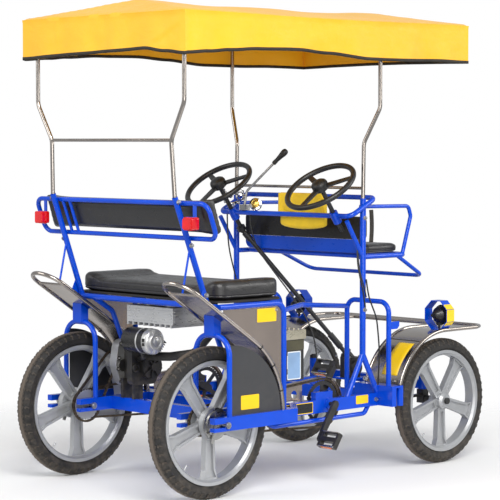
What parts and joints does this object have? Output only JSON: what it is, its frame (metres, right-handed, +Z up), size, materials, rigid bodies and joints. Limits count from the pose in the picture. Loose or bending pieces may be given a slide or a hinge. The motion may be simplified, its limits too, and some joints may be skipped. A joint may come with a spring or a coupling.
{
  "type": "four-wheel pedal surrey with auxiliary engine",
  "caption": "Two-seat four-wheel pedal surrey: blue tube frame, cast five-spoke wheels, black bench, twin steering wheels, front child seat, small chain-drive engine and a yellow cloth canopy.",
  "frame": {"origin": "Middle of the bounding box seen from above, on the ground plane at z = 0.", "axes": "+X points forward, the way the riders face; +Y is the vehicle's left; +Z is up."},
  "size_m": [1.787, 1.004, 1.834],
  "materials": {
    "frame_blue": "glossy sprayed enamel",
    "stainless": "brushed stainless steel",
    "zinc": "dull zinc plating",
    "wheel_grey": "satin powder coat on a casting",
    "tyre": "worn road tyre",
    "vinyl_black": "satin upholstery vinyl",
    "canopy_yellow": "coated awning cloth with black binding",
    "bag_cloth": "coated cloth",
    "panel_blue": "painted sheet",
    "board": "painted board",
    "castings": "sand-blasted casting",
    "silver_case": "ribbed extrusion",
    "silencer": "heat-proof black paint",
    "dark_steel": "black paint",
    "chain_steel": "oiled roller chain",
    "lamp_black": "moulded lamp body",
    "lamp_red": "moulded lens",
    "hose_rubber": "moulded rubber hose"
  },
  "bodies": {
    "chassis": {"side_frame_right": "frame_blue", "side_frame_left": "frame_blue", "side_hoops": "frame_blue", "seat_frame": "frame_blue", "back_frame": "frame_blue", "front_posts": "frame_blue", "dash_frame": "frame_blue", "child_seat_frame": "frame_blue", "front_hoops": "frame_blue", "front_axle_beam": "frame_blue", "cross_members": "frame_blue", "rear_axles": "zinc", "wheel_cages": "frame_blue", "rear_fenders": "stainless", "front_fenders": "stainless", "side_guards": "dark_steel", "side_panels": "stainless", "canopy_posts_rear": "stainless", "canopy_posts_front": "stainless", "canopy_frame": "stainless", "canopy": "canopy_yellow", "bench_cushion": "vinyl_black", "backrest_pad": "vinyl_black", "engine": "castings", "headlamps": "lamp_black", "lamp_guards": "frame_blue", "tail_lamps": "lamp_red", "battery_box": "dark_steel", "battery_lid": "stainless", "control_box": "silver_case", "seat_pan": "board", "child_panels": "panel_blue", "child_cushion": "vinyl_black", "lever": "dark_steel", "bag": "bag_cloth", "canister": "silencer", "steering_box": "silver_case", "pedal_chain_right": "chain_steel", "pedal_chain_left": "chain_steel", "engine_chain": "chain_steel", "chain_guards": "stainless", "intake_hose": "hose_rubber"},
    "rear_right_wheel": {"tyre_rear_right": "tyre", "wheel_rear_right": "wheel_grey"},
    "rear_left_wheel": {"tyre_rear_left": "tyre", "wheel_rear_left": "wheel_grey"},
    "front_right_wheel": {"tyre_front_right": "tyre", "wheel_front_right": "wheel_grey"},
    "front_left_wheel": {"tyre_front_left": "tyre", "wheel_front_left": "wheel_grey"},
    "right_knuckle": {"knuckle_right": "dark_steel"},
    "left_knuckle": {"knuckle_left": "dark_steel"},
    "tie_rod": {"track_rod": "zinc"},
    "drop_arm": {"pitman_arm": "zinc"},
    "driver_column": {"driver_steering": "dark_steel"},
    "passenger_column": {"passenger_steering": "dark_steel"},
    "lower_shaft": {"intermediate_shaft": "dark_steel"},
    "right_cranks": {"crank_set_right": "dark_steel"},
    "left_cranks": {"crank_set_left": "dark_steel"}
  },
  "joints": [
    {"name": "rear_right_spin", "type": "hinge", "parent": "chassis", "child": "rear_right_wheel", "pos_m": [-0.6145, -0.38, 0.279], "axis": [0, 1, 0], "continuous": true},
    {"name": "rear_left_spin", "type": "hinge", "parent": "chassis", "child": "rear_left_wheel", "pos_m": [-0.6145, 0.38, 0.279], "axis": [0, 1, 0], "continuous": true},
    {"name": "steer_left", "type": "hinge", "parent": "chassis", "child": "left_knuckle", "pos_m": [0.6355, 0.312, 0.252], "axis": [0, 0, 1], "range_deg": [-25, 25]},
    {"name": "steer_right", "type": "hinge", "parent": "chassis", "child": "right_knuckle", "pos_m": [0.6355, -0.312, 0.252], "axis": [0, 0, 1], "range_deg": [-25, 25]},
    {"name": "front_left_spin", "type": "hinge", "parent": "left_knuckle", "child": "front_left_wheel", "pos_m": [0.6355, 0.403, 0.252], "axis": [0, 1, 0], "continuous": true},
    {"name": "front_right_spin", "type": "hinge", "parent": "right_knuckle", "child": "front_right_wheel", "pos_m": [0.6355, -0.403, 0.252], "axis": [0, 1, 0], "continuous": true},
    {"name": "tie_rod_pin", "type": "hinge", "parent": "left_knuckle", "child": "tie_rod", "pos_m": [0.5155, 0.312, 0.266], "axis": [0, 0, 1], "range_deg": [-25, 25]},
    {"name": "drop_arm_turn", "type": "hinge", "parent": "chassis", "child": "drop_arm", "pos_m": [0.5355, 0, 0.266], "axis": [0, 0, 1], "range_deg": [-25, 25]},
    {"name": "driver_turn", "type": "hinge", "parent": "chassis", "child": "driver_column", "pos_m": [0.0585, 0.29, 1.124], "axis": [-0.5736, 0, 0.8192], "range_deg": [-75, 75]},
    {"name": "lower_shaft_turn", "type": "hinge", "parent": "chassis", "child": "lower_shaft", "pos_m": [0.5155, 0.014, 0.426], "axis": [-0.4886, 0.4171, 0.7663], "range_deg": [-75, 75]},
    {"name": "passenger_turn", "type": "hinge", "parent": "chassis", "child": "passenger_column", "pos_m": [0.0585, -0.29, 1.124], "axis": [-0.5736, 0, 0.8192], "continuous": true},
    {"name": "right_crank_spin", "type": "hinge", "parent": "chassis", "child": "right_cranks", "pos_m": [0.0235, -0.36, 0.29], "axis": [0, 1, 0], "continuous": true},
    {"name": "left_crank_spin", "type": "hinge", "parent": "chassis", "child": "left_cranks", "pos_m": [0.0235, 0.36, 0.29], "axis": [0, 1, 0], "continuous": true}
  ],
  "couplings": [
    {"joint": "steer_right", "follows": "steer_left", "ratio": 1},
    {"joint": "tie_rod_pin", "follows": "steer_left", "ratio": -1},
    {"joint": "drop_arm_turn", "follows": "steer_left", "ratio": 1},
    {"joint": "driver_turn", "follows": "steer_left", "ratio": 3},
    {"joint": "lower_shaft_turn", "follows": "steer_left", "ratio": 3}
  ]
}
